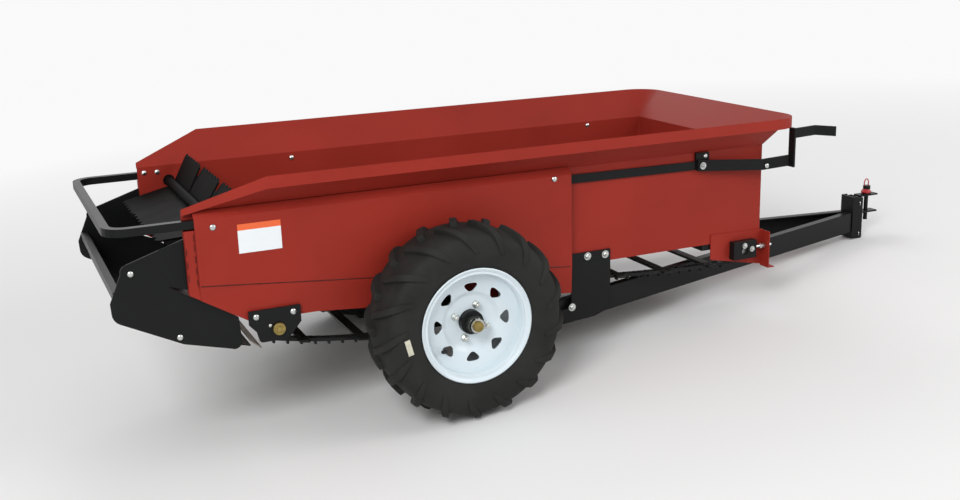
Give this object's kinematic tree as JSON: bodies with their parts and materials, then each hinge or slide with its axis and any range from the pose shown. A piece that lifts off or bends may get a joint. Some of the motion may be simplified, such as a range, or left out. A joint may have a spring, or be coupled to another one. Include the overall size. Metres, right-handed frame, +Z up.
{
  "type": "manure spreader",
  "caption": "Compact towed ground-drive manure spreader: flared red tub on two wheels, apron chain floor, rear beater, A-frame tongue.",
  "frame": {"origin": "on the ground under the middle of the axle", "axes": "+X towards the hitch, +Y to the machine's left, +Z up; it stands unhitched, tipped about the axle until the hitch rests on the ground"},
  "size_m": [2.9134, 1.226, 0.7931],
  "materials": {
    "red_paint": "satin red powder coat",
    "black_paint": "satin black powder coat",
    "bright_steel": "bare and zinc-plated steel",
    "white_paint": "gloss white enamel",
    "tyre_rubber": "matte black rubber",
    "pin_red": "gloss red",
    "floor_wood": "treated plywood"
  },
  "bodies": {
    "chassis": {"tub_side_right": "red_paint", "tub_side_left": "red_paint", "front_panel": "red_paint", "drive_housing_right": "red_paint", "drive_housing_left": "red_paint", "rear_post_right": "red_paint", "rear_post_left": "red_paint", "front_bracket_right": "red_paint", "front_bracket_left": "red_paint", "tub_floor": "floor_wood", "axle": "bright_steel", "apron_shaft_rear": "bright_steel", "apron_shaft_front": "bright_steel", "pan_front_strip": "bright_steel", "hitch_pin": "pin_red", "floor_crossmember_rear": "black_paint", "floor_crossmember_middle": "black_paint", "floor_crossmember_front": "black_paint", "rear_side_plate_right": "black_paint", "rear_side_plate_left": "black_paint", "rear_pan": "black_paint", "rear_pan_bar": "black_paint", "rear_guard": "black_paint", "beater_bearing_right": "black_paint", "beater_bearing_left": "black_paint", "apron_upper_run": "black_paint", "apron_lower_run": "black_paint", "apron_shaft_bracket_right": "black_paint", "apron_shaft_bracket_left": "black_paint", "axle_bracket_right": "black_paint", "axle_bracket_left": "black_paint", "frame_bracket_right": "black_paint", "frame_bracket_left": "black_paint", "chain_tensioner_right": "black_paint", "chain_tensioner_left": "black_paint", "tongue_rail_right": "black_paint", "tongue_rail_left": "black_paint", "hitch_channel": "black_paint", "hitch_bracket": "black_paint", "hitch_clevis": "black_paint", "lever_pivot_bracket": "black_paint", "clutch_bar": "black_paint", "clutch_lever_arm": "black_paint", "clutch_lever_strap": "black_paint", "clutch_handle": "black_paint"},
    "wheel_right": {"tyre_right": "tyre_rubber", "wheel_rim_right": "white_paint", "wheel_hub_right": "black_paint"},
    "wheel_left": {"tyre_left": "tyre_rubber", "wheel_rim_left": "white_paint", "wheel_hub_left": "black_paint"},
    "beater": {"beater_shaft": "black_paint"}
  },
  "joints": [
    {"name": "wheel_right_spin", "type": "hinge", "parent": "chassis", "child": "wheel_right", "pos_m": [0, -0.512, 0.287], "axis": [0, 1, 0], "continuous": true},
    {"name": "wheel_left_spin", "type": "hinge", "parent": "chassis", "child": "wheel_left", "pos_m": [0, 0.512, 0.287], "axis": [0, 1, 0], "continuous": true},
    {"name": "beater_spin", "type": "hinge", "parent": "chassis", "child": "beater", "pos_m": [-0.61825, 0, 0.65955], "axis": [0, 1, 0], "continuous": true}
  ]
}
